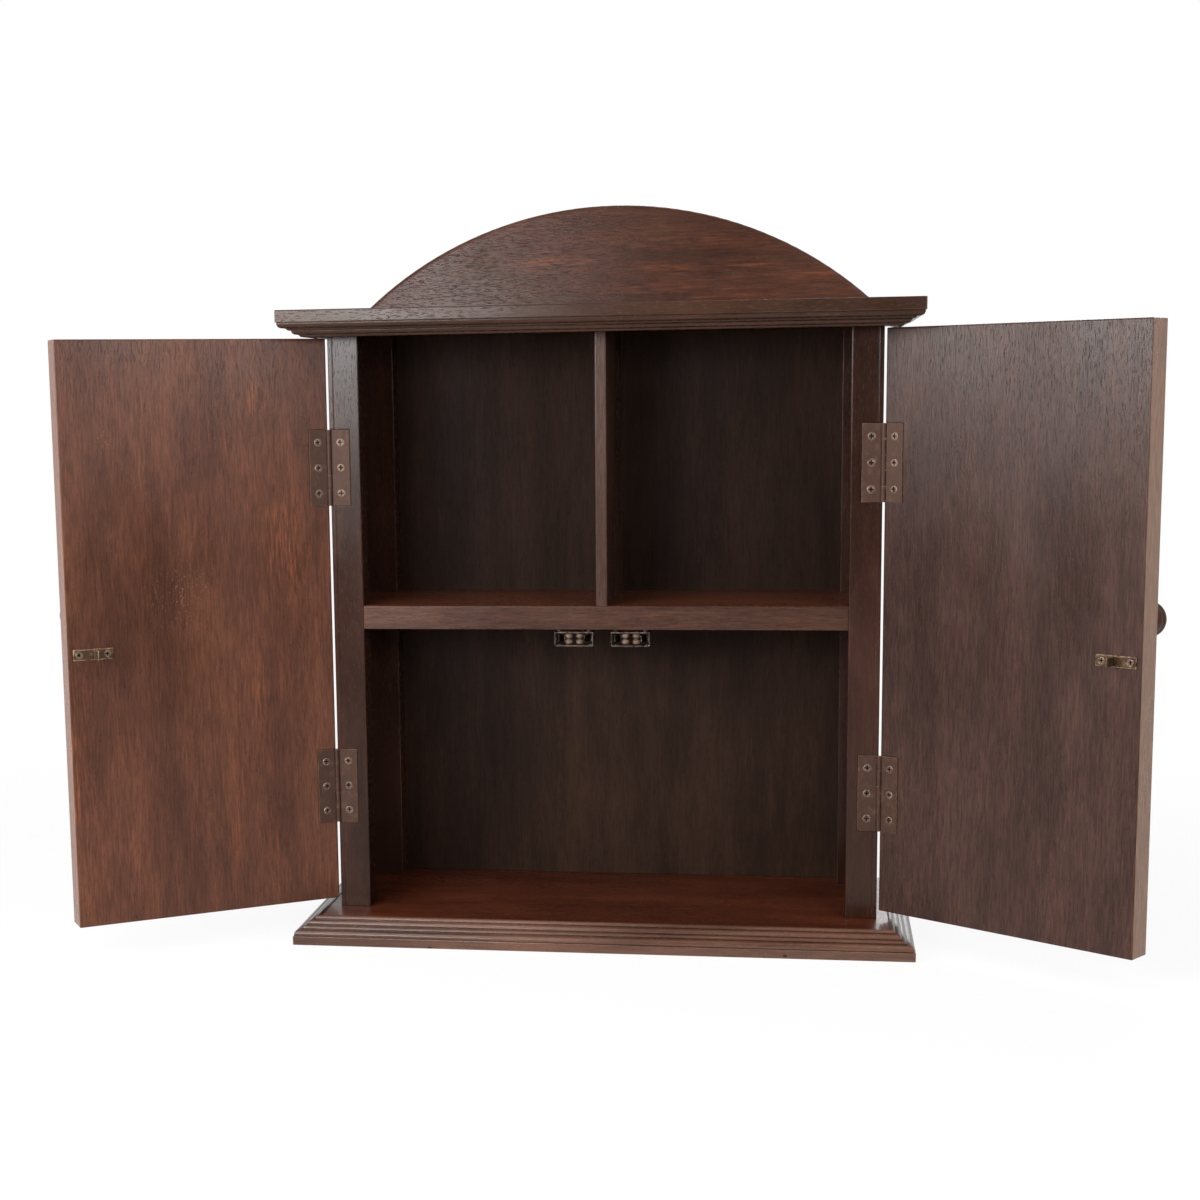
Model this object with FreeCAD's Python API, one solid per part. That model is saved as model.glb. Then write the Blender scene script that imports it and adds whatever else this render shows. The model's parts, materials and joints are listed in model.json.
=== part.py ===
"""Hanging wall cabinet with two doors, reeded mouldings, butt hinges and roller catches (mm)."""
import FreeCAD, Part
import math
import os

V = FreeCAD.Vector
X_AXIS = V(1, 0, 0)
Y_AXIS = V(0, 1, 0)
Z_AXIS = V(0, 0, 1)
ORIGIN = V(0, 0, 0)

# Carcass
carcass_width = 460.0
carcass_depth = 148.0
carcass_height = 494.0
base_thickness = 21.0
top_thickness = 17.0
side_panel_thickness = 4.0
back_panel_thickness = 5.0
stile_width = 22.0
stile_depth = 24.0
rear_post_width = 27.0
rear_post_depth = 22.0
bay_height = 243.5
shelf_thickness = 20.0
divider_thickness = 9.5
board_arris = 0.8

# Base and cornice mouldings
side_margin = 10.0
door_margin = 13.0
moulding_width = 20.0
base_moulding_height = 21.5
base_fascia = 7.5
cornice_moulding_height = 21.0
cornice_fascia = 10.0
reed_shares = (0.32, 0.2, 0.27, 0.21)
reed_bulge_share = 0.4
moulding_ledge = 1.2

# Crest
crest_rise = 92.0
crest_thickness = 16.0
crest_arris = 3.0
keyhole_spacing = 320.0
keyhole_height = 22.0
keyhole_depth = 10.0
keyhole_lip = 6.0
keyhole_head_radius = 4.5
keyhole_slot_radius = 2.25
keyhole_slot_length = 12.0
crest_screw_spacing = 130.0
crest_screw_gap = 0.5

# Doors, drawn closed and then opened by these angles
door_thickness = 22.0
door_bottom_gap = 7.3
door_top_gap = 5.0
door_meeting_gap = 2.0
door_arris = 1.0
left_open_angle = 147.0
right_open_angle = 144.0

# Knobs
knob_radius = 14.0
knob_height = 30.0
knob_neck_radius = 6.5
knob_foot_radius = 9.0
knob_foot_share = 0.07
knob_waist_share = 0.38
knob_rim_share = 0.77
knob_roll_share = 0.93
knob_roll_height_share = 0.08
knob_cove_share = 0.14
knob_spigot_radius = 5.0
knob_spigot_length = 13.0
knob_inset = 18.8
knob_above_shelf = 0.2
spigot_clearance = 0.1

# Butt hinges
hinge_height = 64.0
hinge_top_inset = 76.0
hinge_bottom_inset = 68.0
leaf_width = 17.4
leaf_thickness = 1.4
leaf_recess = 0.7
leaf_gap = 0.6
leaf_screw_place = 9.7
leaf_screw_shares = (0.165, 0.5, 0.835)
pin_overhang = 0.5
knuckle_radius = 2.0
knuckle_count = 5
knuckle_gap = 0.3
hinge_pin_radius = 1.2
running_clearance = 0.05
swing_gap = 0.25
mortise_clearance = 0.1

# Screws and nails
leaf_screw_head_radius = 3.3
leaf_screw_radius = 1.6
leaf_screw_length = 15.0
joint_screw_head_radius = 4.0
joint_screw_radius = 2.1
joint_screw_length = 45.0
crest_screw_length = 40.0
strike_screw_head_radius = 2.7
strike_screw_radius = 1.3
strike_screw_length = 11.0
catch_screw_head_radius = 2.4
catch_screw_radius = 1.2
catch_screw_length = 12.0
recess_width_share = 0.36
recess_span_share = 1.2
recess_depth_share = 0.5
nail_radius = 0.9
nail_head_radius = 2.0
nail_length = 18.0
nail_head_height = 0.8
nails_along_post = 4
screw_sink = 0.4
hole_clearance = 0.05

# Roller catches and strikes
catch_place = 23.9
catch_width = 33.0
catch_height = 12.2
catch_depth = 12.0
catch_setback = 1.0
catch_drop = 2.1
catch_foot_radius = 3.4
catch_wall = 0.9
catch_corner = 1.8
roller_radius = 3.2
roller_place = 4.6
roller_travel = 2.0
roller_end_gap = 0.5
roller_bevel = 0.9
roller_waist_height = 1.4
roller_pin_radius = 1.0
roller_pin_head_radius = 1.8
roller_pin_head_height = 0.6
roller_pin_gap = 0.2
catch_screw_edge = 3.9
catch_access_radius = 2.9
spring_thickness = 0.4
spring_height = 6.0
spring_bend_radius = 1.6
spring_gap = 0.3
strike_length = 33.0
strike_height = 9.0
strike_thickness = 1.0
strike_shift = 2.0
strike_screw_spacing = 23.5
tongue_length = 12.0
tongue_height = 7.6
tongue_neck_width = 1.3
tongue_head_width = 2.1
tongue_shoulder_share = 0.7
tongue_head_share = 0.85
overrun = 1.0

# Derived levels and planes
floor_z = base_thickness
ceiling_z = floor_z + carcass_height
top_z = ceiling_z + top_thickness
shelf_z = floor_z + bay_height
shelf_top_z = shelf_z + shelf_thickness
hinge_gap = 2 * (leaf_thickness - leaf_recess) + leaf_gap
board_front = hinge_gap + door_thickness + door_margin
total_depth = carcass_depth + board_front + moulding_width
stile_y = total_depth / 2 - carcass_depth
back_y = total_depth / 2
board_front_y = stile_y - board_front
side_x = carcass_width / 2
board_x = side_x + side_margin
inner_side_x = side_x - side_panel_thickness
stile_inner_x = inner_side_x - stile_width
post_inner_x = inner_side_x - rear_post_width
back_inner_y = back_y - back_panel_thickness
post_front_y = back_inner_y - rear_post_depth

# Derived hinge places, for the left door
pin_y = stile_y - hinge_gap / 2
barrel_reach = knuckle_radius + swing_gap
pin_x = -side_x - pin_overhang
door_inner_y = stile_y - hinge_gap
door_outer_y = door_inner_y - door_thickness
door_bottom_z = floor_z + door_bottom_gap
door_top_z = ceiling_z - door_top_gap
hinge_levels = (door_bottom_z + hinge_bottom_inset, door_top_z - hinge_top_inset - hinge_height)

# Derived catch and strike places, for the left side
strike_x = strike_shift - catch_place
catch_y = stile_y + catch_setback
roller_y = catch_y + catch_depth / 2
catch_top_z = shelf_z - catch_drop
catch_bottom_z = catch_top_z - catch_height
catch_middle_z = catch_top_z - catch_height / 2
roller_bottom_z = catch_bottom_z + catch_wall + roller_end_gap
roller_height = catch_height - 2 * (catch_wall + roller_end_gap)


def box(x0, x1, y0, y1, z0, z1):
    """A block between two corners."""
    return Part.makeBox(x1 - x0, y1 - y0, z1 - z0, V(x0, y0, z0))


def rod(radius, start, end):
    """A cylinder from one point to another."""
    along = end - start
    return Part.makeCylinder(radius, along.Length, start, along)


def face_of(edges):
    """A flat face inside a closed run of edges."""
    return Part.Face(Part.Wire(edges))


def line(start, end):
    return Part.LineSegment(start, end).toShape()


def arc(start, through, end):
    return Part.Arc(start, through, end).toShape()


def bowed(start, end, normal, bulge_share):
    """An arc whose middle stands off its chord, square to a normal, by a share of the chord."""
    return arc(start, (start + end) / 2 + (end - start).cross(normal) * bulge_share, end)


def closed_lines(points):
    """Straight edges through the points and back to the first."""
    return [line(a, b) for a, b in zip(points, points[1:] + points[:1])]


def mirrored(shape):
    """The same piece on the other side of the cabinet's middle plane."""
    return shape.mirror(ORIGIN, X_AXIS)


def cut_all(shape, tools):
    """A piece with every tool cut out of it, as one clean solid."""
    for tool in tools:
        shape = shape.cut(tool)
    return shape.removeSplitter()


def softened(board, middles):
    """A board with the edges that pass through these points rounded to the arris."""
    marks = [Part.Vertex(middle) for middle in middles]
    chosen = [e for e in board.Edges if any(e.distToShape(mark)[0] < board_arris / 2 for mark in marks)]
    return board.makeFillet(board_arris, chosen)


def write(name, *solids):
    """One STEP file for one node."""
    shape = solids[0] if len(solids) == 1 else Part.Compound(list(solids))
    shape.exportStep("parts/" + name + ".step")


# Screws and nails


def turned(points):
    """A solid of revolution about Z from points in the XZ plane."""
    return face_of(closed_lines(points)).revolve(ORIGIN, Z_AXIS, 360)


def aimed(shape, place, direction):
    """A fastener drawn along +Z, put at a place and pointed along a direction."""
    moved = shape.copy()
    moved.Placement = FreeCAD.Placement(place, FreeCAD.Rotation(Z_AXIS, direction))
    return moved


def screw_body(head_radius, radius, length, clearance):
    """A countersunk screw with its flat head at Z 0, grown by a clearance for its hole."""
    cone = head_radius - radius
    return turned([
        V(0, 0, 0),
        V(head_radius + clearance, 0, 0),
        V(radius + clearance, 0, cone),
        V(radius + clearance, 0, length + clearance),
        V(0, 0, length + clearance),
    ])


def screw(head_radius, radius, length):
    """A countersunk screw with a cross recess."""
    span = head_radius * recess_span_share / 2
    half = head_radius * recess_width_share / 2
    depth = head_radius * recess_depth_share
    slots = [box(-span, span, -half, half, 0, depth), box(-half, half, -span, span, 0, depth)]
    return cut_all(screw_body(head_radius, radius, length, 0), slots)


def nail(clearance):
    """A wire nail with a flat head at Z 0."""
    return turned([
        V(0, 0, 0),
        V(nail_head_radius + clearance, 0, 0),
        V(nail_head_radius + clearance, 0, nail_head_height + clearance),
        V(nail_radius + clearance, 0, nail_head_height + clearance),
        V(nail_radius + clearance, 0, nail_length + clearance),
        V(0, 0, nail_length + clearance),
    ])


def fasteners(kind, hole, seats):
    """Copies of a fastener and of its hole at each seat of place and direction."""
    return [aimed(kind, *seat) for seat in seats], [aimed(hole, *seat) for seat in seats]


def screws(head_radius, radius, length, seats):
    kind = screw(head_radius, radius, length)
    hole = screw_body(head_radius, radius, length, hole_clearance)
    return fasteners(kind, hole, seats)


def nails(seats):
    return fasteners(nail(0), nail(hole_clearance), seats)


# Mouldings


def moulding_points(height, fascia):
    """Reed ends as outward and upward offsets, from the ledge on the fascia to the board."""
    start = moulding_width - moulding_ledge
    places = [(start, fascia)]
    done = 0
    for share in reed_shares:
        done += share
        places.append((start * (1 - done), fascia + (height - fascia) * done))
    return places


def moulding_face(height, fascia, foot_z, upward):
    """The moulding's section in the YZ plane, with the board's edge at Y 0 and outward along -Y."""
    def at(outward, rise):
        return V(0, -outward, foot_z + upward * rise)
    ends = moulding_points(height, fascia)
    bend = board_arris * (1 - math.sqrt(1 / 2))
    near = at(moulding_width - board_arris, 0)
    far = at(moulding_width, board_arris)
    lip = at(moulding_width, fascia)
    edges = [line(at(0, 0), near), arc(near, at(moulding_width - bend, bend), far), line(far, lip)]
    edges.append(line(lip, at(*ends[0])))
    for low, high in zip(ends, ends[1:]):
        edges.append(bowed(at(*low), at(*high), X_AXIS * -upward, reed_bulge_share))
    edges.append(line(at(*ends[-1]), at(0, 0)))
    return face_of(edges)


def plan_prism(points, low_z, high_z):
    """An upright prism over a plan outline."""
    corners = [V(x, y, low_z) for x, y in points]
    return face_of(closed_lines(corners)).extrude(V(0, 0, high_z - low_z))


def moulding_set(height, fascia, foot_z, upward):
    """Front, left and right moulding strips, mitred at the two front corners."""
    outer_x = board_x + moulding_width
    outer_y = board_front_y - moulding_width
    low_z = min(foot_z, foot_z + upward * (height + overrun))
    high_z = max(foot_z, foot_z + upward * (height + overrun))
    section = moulding_face(height, fascia, foot_z, upward)
    front = section.translated(V(-outer_x, board_front_y, 0)).extrude(V(2 * outer_x, 0, 0))
    front_plan = [
        (-board_x, board_front_y), (board_x, board_front_y), (outer_x, outer_y), (-outer_x, outer_y)]
    front = front.common(plan_prism(front_plan, low_z, high_z)).removeSplitter()
    side_section = section.rotated(ORIGIN, Z_AXIS, -90).translated(V(-board_x, outer_y, 0))
    side = side_section.extrude(V(0, back_y - outer_y, 0))
    side_plan = [(-board_x, board_front_y), (-outer_x, outer_y), (-outer_x, back_y), (-board_x, back_y)]
    side = side.common(plan_prism(side_plan, low_z, high_z)).removeSplitter()
    return front, side, mirrored(side)


# Boards of the carcass


def post_places():
    """Middle of each corner post in plan."""
    front_x = inner_side_x - stile_width / 2
    rear_x = inner_side_x - rear_post_width / 2
    front_y = stile_y + stile_depth / 2
    rear_y = post_front_y + rear_post_depth / 2
    return [(-front_x, front_y), (front_x, front_y), (-rear_x, rear_y), (rear_x, rear_y)]


def base_screw_seats():
    return [(V(x, y, screw_sink), Z_AXIS) for x, y in post_places()]


def top_screw_seats():
    return [(V(x, y, top_z - screw_sink), -Z_AXIS) for x, y in post_places()]


def crest_screw_seats():
    """Screws from under the top board up into the crest, clear of the back panel."""
    y = back_inner_y - joint_screw_head_radius - crest_screw_gap
    places = (-crest_screw_spacing, 0, crest_screw_spacing)
    return [(V(x, y, ceiling_z + screw_sink), Z_AXIS) for x in places]


def sinks(seats, head_radius):
    """Clear round pockets that leave sunken heads open to the surface."""
    pockets = []
    for place, direction in seats:
        mouth = place - direction * (screw_sink + overrun)
        pockets.append(rod(head_radius + hole_clearance, mouth, place))
    return pockets


def crest_board():
    """An arched board that stands on the back of the top board, with keyholes in its back."""
    front_y = back_y - crest_thickness
    left = V(-side_x, front_y, top_z)
    right = V(side_x, front_y, top_z)
    crown = V(0, front_y, top_z + crest_rise)
    arch = arc(left, crown, right)
    board = face_of([arch, line(right, left)]).extrude(V(0, crest_thickness, 0))
    front_edges = [e for e in board.Edges if e.Curve.TypeId == "Part::GeomCircle"]
    front_edges = [e for e in front_edges if abs(e.BoundBox.YMax - front_y) < crest_thickness / 2]
    board = board.makeFillet(crest_arris, front_edges)
    return cut_all(board, [keyhole(-keyhole_spacing / 2), keyhole(keyhole_spacing / 2)])


def upright_slot(radius, foot, depth):
    """A slot with round ends, cut along +Y from its foot and rising from it."""
    head = foot + V(0, 0, keyhole_slot_length)
    ends = [rod(radius, end, end + V(0, depth, 0)) for end in (foot, head)]
    middle = box(foot.x - radius, foot.x + radius, foot.y, foot.y + depth, foot.z, head.z)
    return middle.fuse(ends)


def keyhole(x):
    """A round entry and a slot above it, with a wider channel behind the slot's lips for a screw's head."""
    foot = V(x, back_y - keyhole_depth, top_z + keyhole_height)
    entry = rod(keyhole_head_radius, foot, foot + V(0, keyhole_depth + overrun, 0))
    channel = upright_slot(keyhole_head_radius, foot, keyhole_depth - keyhole_lip)
    slot = upright_slot(keyhole_slot_radius, foot, keyhole_depth + overrun)
    return entry.fuse([channel, slot]).removeSplitter()


def shelf_board():
    """A shelf notched round the four posts, its front edge level with the stiles."""
    left_half = [
        (0, stile_y),
        (-stile_inner_x, stile_y),
        (-stile_inner_x, stile_y + stile_depth),
        (-inner_side_x, stile_y + stile_depth),
        (-inner_side_x, post_front_y),
        (-post_inner_x, post_front_y),
        (-post_inner_x, back_inner_y),
        (0, back_inner_y),
    ]
    half = plan_prism(left_half, shelf_z, shelf_top_z)
    shelf = half.fuse(mirrored(half)).removeSplitter()
    return softened(shelf, [V(0, stile_y, shelf_z), V(0, stile_y, shelf_top_z)])


def divider_board():
    """An upright board on the shelf, its front edge level with the stiles."""
    half = divider_thickness / 2
    middle_z = (shelf_top_z + ceiling_z) / 2
    board = box(-half, half, stile_y, back_inner_y, shelf_top_z, ceiling_z)
    return softened(board, [V(-half, stile_y, middle_z), V(half, stile_y, middle_z)])


def panel_nail_seats():
    """Nails through the back panel into the rear posts."""
    x = inner_side_x - rear_post_width / 2
    pitch = carcass_height / nails_along_post
    levels = [floor_z + pitch * (i + 1 / 2) for i in range(nails_along_post)]
    return [(V(s * x, back_y, z), -Y_AXIS) for s in (-1, 1) for z in levels]


# Hinges, drawn for the left side with the door closed


def knuckle_span(level, index):
    """Low and high ends of one knuckle's share of the barrel."""
    pitch = hinge_height / knuckle_count
    return level + index * pitch, level + (index + 1) * pitch


def barrel(level, index, radius, grow):
    """A round length of the barrel, longer or shorter than its share at each end."""
    low, high = knuckle_span(level, index)
    return rod(radius, V(pin_x, pin_y, low - grow), V(pin_x, pin_y, high + grow))


def leaf(level, own, y0, y1, holes):
    """One hinge leaf: a plate, its own knuckles, and room for the other leaf's knuckles."""
    plate = box(pin_x, pin_x + leaf_width, y0, y1, level, level + hinge_height)
    others = [i for i in range(knuckle_count) if i not in own]
    plate = cut_all(plate, [barrel(level, i, barrel_reach, knuckle_gap / 2) for i in others])
    for i in own:
        plate = plate.fuse(barrel(level, i, knuckle_radius, -knuckle_gap / 2))
    low = V(pin_x, pin_y, level - overrun)
    high = V(pin_x, pin_y, level + hinge_height + overrun)
    return cut_all(plate, [rod(hinge_pin_radius + running_clearance, low, high)] + holes)


def leaf_screw_seats(level, y, direction):
    """Three screws in a line down the middle of a leaf."""
    x = pin_x + leaf_screw_place
    return [(V(x, y, level + hinge_height * share), direction) for share in leaf_screw_shares]


def mortise(level, y0, y1):
    """The shallow pocket that a leaf lies in, with a hollow at its edge for the barrel."""
    low = level - mortise_clearance
    high = level + hinge_height + mortise_clearance
    pocket = box(-side_x - overrun, pin_x + leaf_width + mortise_clearance, y0, y1, low, high)
    return pocket.fuse(rod(barrel_reach, V(pin_x, pin_y, low), V(pin_x, pin_y, high)))


def hinge_pin(level):
    return rod(hinge_pin_radius, V(pin_x, pin_y, level), V(pin_x, pin_y, level + hinge_height))


# Doors, drawn for the left side and closed


def opened(shape, side):
    """A piece of the left door, put on its own side and swung open about its hinge pins."""
    if side == "left":
        return shape.rotated(V(pin_x, pin_y, 0), Z_AXIS, -left_open_angle)
    return mirrored(shape).rotated(V(-pin_x, pin_y, 0), Z_AXIS, right_open_angle)


def door_blank():
    """A plain door board with softened edges."""
    board = box(-side_x, -door_meeting_gap / 2, door_outer_y, door_inner_y, door_bottom_z, door_top_z)
    return board.makeFillet(door_arris, board.Edges)


def knob_axis():
    """Middle of the knob's foot on the door's outer face."""
    return V(-door_meeting_gap / 2 - knob_inset, door_outer_y, shelf_top_z + knob_above_shelf)


def knob():
    """A turned knob with a cove, a rolled rim, a domed face and a spigot glued into the door."""
    roll = knob_radius * knob_roll_share
    half_roll = knob_height * knob_roll_height_share
    rim_z = knob_height * knob_rim_share
    foot = V(knob_foot_radius, 0, knob_height * knob_foot_share)
    waist = V(knob_neck_radius, 0, knob_height * knob_waist_share)
    under = V(roll, 0, rim_z - half_roll)
    over = V(roll, 0, rim_z + half_roll)
    crown = V(0, 0, knob_height)
    centre_z = (knob_height ** 2 - over.z ** 2 - roll ** 2) / (2 * (knob_height - over.z))
    half_angle = math.atan2(roll, over.z - centre_z) / 2
    dome_radius = knob_height - centre_z
    dome = V(dome_radius * math.sin(half_angle), 0, centre_z + dome_radius * math.cos(half_angle))
    corners = [
        V(0, 0, -knob_spigot_length),
        V(knob_spigot_radius, 0, -knob_spigot_length),
        V(knob_spigot_radius, 0, 0),
        V(knob_foot_radius, 0, 0),
        foot,
    ]
    edges = [line(a, b) for a, b in zip(corners, corners[1:])]
    edges += [
        bowed(foot, waist, Y_AXIS, knob_cove_share),
        bowed(waist, under, -Y_AXIS, knob_cove_share),
        arc(under, V(knob_radius, 0, rim_z), over),
        arc(over, dome, crown),
        line(crown, corners[0]),
    ]
    return aimed(face_of(edges).revolve(ORIGIN, Z_AXIS, 360), knob_axis(), -Y_AXIS)


def spigot_hole():
    """The blind hole for the knob's spigot."""
    foot = knob_axis()
    end = foot + V(0, knob_spigot_length + spigot_clearance, 0)
    return rod(knob_spigot_radius + spigot_clearance, foot - V(0, overrun, 0), end)


def strike_screw_seats():
    y = door_inner_y + strike_thickness
    places = (-strike_screw_spacing / 2, strike_screw_spacing / 2)
    return [(V(strike_x + x, y, catch_middle_z), -Y_AXIS) for x in places]


def strike(holes):
    """A plate on the door's inner face with a spear-shaped tongue that enters the catch."""
    half = strike_length / 2
    low = catch_middle_z - strike_height / 2
    plate = box(strike_x - half, strike_x + half, door_inner_y, door_inner_y + strike_thickness,
                low, low + strike_height)
    neck = tongue_neck_width / 2
    head = tongue_head_width / 2
    shoulder = tongue_length * tongue_shoulder_share
    widest = tongue_length * tongue_head_share
    tip = tongue_length - head / 2

    def at(x, y):
        return V(-catch_place + x, door_inner_y + y, catch_middle_z - tongue_height / 2)
    outline = [
        line(at(-neck, 0), at(neck, 0)),
        line(at(neck, 0), at(neck, shoulder)),
        line(at(neck, shoulder), at(head, widest)),
        line(at(head, widest), at(head / 2, tip)),
        arc(at(head / 2, tip), at(0, tongue_length), at(-head / 2, tip)),
        line(at(-head / 2, tip), at(-head, widest)),
        line(at(-head, widest), at(-neck, shoulder)),
        line(at(-neck, shoulder), at(-neck, 0)),
    ]
    tongue = face_of(outline).extrude(V(0, 0, tongue_height))
    return cut_all(plate.fuse(tongue), holes)


# Roller catches, drawn for the left side


def catch_ring(inset):
    """The catch's outline seen from the front, square above and rounded below."""
    half = catch_width / 2 - inset
    low = catch_bottom_z + inset
    high = catch_top_z - inset
    corner = max(catch_corner - inset, catch_wall / 2)
    bend = corner * (1 - math.sqrt(1 / 2))

    def at(x, z):
        return V(-catch_place + x, catch_y, z)
    edges = [
        line(at(-half, low + corner), at(-half, high)),
        line(at(-half, high), at(half, high)),
        line(at(half, high), at(half, low + corner)),
        arc(at(half, low + corner), at(half - bend, low + bend), at(half - corner, low)),
        line(at(half - corner, low), at(-half + corner, low)),
        arc(at(-half + corner, low), at(-half + bend, low + bend), at(-half, low + corner)),
    ]
    return face_of(edges).extrude(V(0, catch_depth, 0))


def pin_slot(side):
    """The slot through the top and bottom walls that a roller's pin slides in."""
    half = roller_pin_radius + running_clearance
    near = roller_place - half
    far = roller_place + roller_travel + half
    x0, x1 = sorted((side * near, side * far))
    return box(-catch_place + x0, -catch_place + x1, roller_y - half, roller_y + half,
               catch_bottom_z - overrun, catch_top_z + overrun)


def catch_screw_place(side):
    return V(-catch_place + side * (catch_width / 2 - catch_screw_edge), roller_y, 0)


def catch_screw_seats():
    z = catch_top_z - catch_wall
    return [(catch_screw_place(side) + V(0, 0, z), Z_AXIS) for side in (-1, 1)]


def catch_foot(side):
    """A pressed foot round a screw, which holds the housing clear of the shelf."""
    low = catch_screw_place(side) + V(0, 0, catch_top_z - catch_wall)
    return rod(catch_foot_radius, low, V(low.x, low.y, shelf_z))


def catch_housing(screw_holes):
    """A folded sheet housing on two feet, with slots for the pins and holes to reach its screws."""
    shell = catch_ring(0).cut(catch_ring(catch_wall)).fuse([catch_foot(-1), catch_foot(1)])
    tools = [pin_slot(-1), pin_slot(1)] + screw_holes
    for side in (-1, 1):
        foot = catch_screw_place(side) + V(0, 0, catch_bottom_z - overrun)
        tools.append(rod(catch_access_radius, foot, foot + V(0, 0, catch_wall + 2 * overrun)))
    return cut_all(shell, tools)


def roller_foot(side):
    return V(-catch_place + side * roller_place, roller_y, roller_bottom_z)


def roller(side):
    """A spool-shaped roller with two bevelled rims and a waist, bored for its pin."""
    bore = roller_pin_radius + running_clearance
    rim = (roller_height - roller_waist_height) / 2
    waist = roller_radius - roller_bevel
    points = [V(bore, 0, 0)]
    for low in (0, roller_height - rim):
        high = low + rim
        points += [
            V(waist, 0, low),
            V(roller_radius, 0, low + roller_bevel),
            V(roller_radius, 0, high - roller_bevel),
            V(waist, 0, high),
        ]
    points.append(V(bore, 0, roller_height))
    return turned(points).translated(roller_foot(side))


def roller_pin(side):
    """A pin through the slots, with a flat head under the housing."""
    low = catch_bottom_z - roller_pin_gap
    foot = roller_foot(side)
    shank = rod(roller_pin_radius, V(foot.x, foot.y, low), V(foot.x, foot.y, catch_top_z - roller_pin_gap))
    head_low = V(foot.x, foot.y, low - roller_pin_head_height)
    head = rod(roller_pin_head_radius, head_low, V(foot.x, foot.y, low))
    return shank.fuse(head).removeSplitter()


def catch_spring(side):
    """A strip folded back on itself from the housing's end wall to the roller."""
    wall_x = catch_width / 2 - catch_wall - spring_thickness / 2
    centre = V(wall_x - spring_bend_radius, catch_depth - catch_wall - spring_bend_radius, 0)
    tip = V(roller_place + roller_radius + spring_gap + spring_thickness / 2, catch_depth / 2, 0)
    to_tip = tip - centre
    reach = math.sqrt(to_tip.Length ** 2 - spring_bend_radius ** 2)
    end_angle = math.atan2(to_tip.y, to_tip.x) - math.atan2(reach, spring_bend_radius) + 2 * math.pi

    def bend(angle):
        return centre + V(math.cos(angle), math.sin(angle), 0) * spring_bend_radius
    start = V(wall_x, catch_wall, 0)
    path = Part.Wire([
        line(start, bend(0)),
        arc(bend(0), bend(end_angle / 2), bend(end_angle)),
        line(bend(end_angle), tip),
    ])
    half = V(spring_thickness / 2, 0, 0)
    rise = V(0, 0, spring_height / 2)
    corners = [start - half - rise, start + half - rise, start + half + rise, start - half + rise]
    section = Part.Wire(closed_lines(corners))
    strip = path.makePipeShell([section], True, False)
    strip = strip if side > 0 else strip.mirror(ORIGIN, X_AXIS)
    middle_z = roller_bottom_z + roller_height / 2
    return strip.translated(V(-catch_place, catch_y, middle_z))


# Build and write every node


def build_carcass():
    """Boards, posts, panels and mouldings, with the fasteners that hold them."""
    base_seats = base_screw_seats()
    top_seats = top_screw_seats()
    crest_seats = crest_screw_seats()
    joint = (joint_screw_head_radius, joint_screw_radius)
    base_screws, base_holes = screws(*joint, joint_screw_length, base_seats)
    top_screws, top_holes = screws(*joint, joint_screw_length, top_seats)
    crest_screws, crest_holes = screws(*joint, crest_screw_length, crest_seats)
    back_nails, back_holes = nails(panel_nail_seats())
    base_pockets = sinks(base_seats, joint_screw_head_radius)
    top_pockets = sinks(top_seats + crest_seats, joint_screw_head_radius)

    base = box(-board_x, board_x, board_front_y, back_y, 0, base_thickness)
    top = box(-board_x, board_x, board_front_y, back_y, ceiling_z, top_z)
    write("base_board", cut_all(base, base_holes + base_pockets))
    write("top_board", cut_all(top, top_holes + crest_holes + top_pockets))
    write("crest_board", cut_all(crest_board(), crest_holes))
    base_strips = moulding_set(base_moulding_height, base_fascia, 0, 1)
    cornice_strips = moulding_set(cornice_moulding_height, cornice_fascia, top_z, -1)
    for place, base_strip, cornice_strip in zip(("front", "left", "right"), base_strips, cornice_strips):
        write("base_" + place + "_moulding", base_strip)
        write("cornice_" + place + "_moulding", cornice_strip)

    frame_screws, frame_holes = frame_leaf_screws()
    mortises = [mortise(z, stile_y - overrun, stile_y + leaf_recess) for z in hinge_levels]
    post_holes = base_holes + top_holes
    stile = box(-inner_side_x, -stile_inner_x, stile_y, stile_y + stile_depth, floor_z, ceiling_z)
    stile = softened(stile, [V(-stile_inner_x, stile_y, (floor_z + ceiling_z) / 2)])
    stile = cut_all(stile, post_holes + frame_holes + mortises)
    post = box(-inner_side_x, -post_inner_x, post_front_y, back_inner_y, floor_z, ceiling_z)
    post = cut_all(post, post_holes + back_holes)
    panel = box(-side_x, -inner_side_x, stile_y, back_y, floor_z, ceiling_z)
    panel = cut_all(panel, mortises)
    for side, put in (("left", Part.Shape.copy), ("right", mirrored)):
        write(side + "_front_stile", put(stile))
        write(side + "_rear_post", put(post))
        write(side + "_side_panel", put(panel))

    back = box(-inner_side_x, inner_side_x, back_inner_y, back_y, floor_z, ceiling_z)
    write("back_panel", cut_all(back, back_holes))
    catch_sizes = (catch_screw_head_radius, catch_screw_radius, catch_screw_length)
    catch_screws, catch_holes = screws(*catch_sizes, catch_screw_seats())
    write("shelf_board", cut_all(shelf_board(), catch_holes + [mirrored(h) for h in catch_holes]))
    write("divider", divider_board())
    write("base_screws", *base_screws)
    write("top_screws", *top_screws)
    write("crest_screws", *crest_screws)
    write("back_panel_nails", *back_nails)
    write("frame_leaf_screws", *frame_screws, *[mirrored(s) for s in frame_screws])
    write("catch_screws", *catch_screws, *[mirrored(s) for s in catch_screws])
    return catch_holes


def leaf_screws(y, direction):
    """The screws of both left leaves that lie in one plane, and their holes."""
    seats = [seat for z in hinge_levels for seat in leaf_screw_seats(z, y, direction)]
    return screws(leaf_screw_head_radius, leaf_screw_radius, leaf_screw_length, seats)


def frame_leaf_screws():
    return leaf_screws(stile_y + leaf_recess - leaf_thickness, Y_AXIS)


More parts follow.
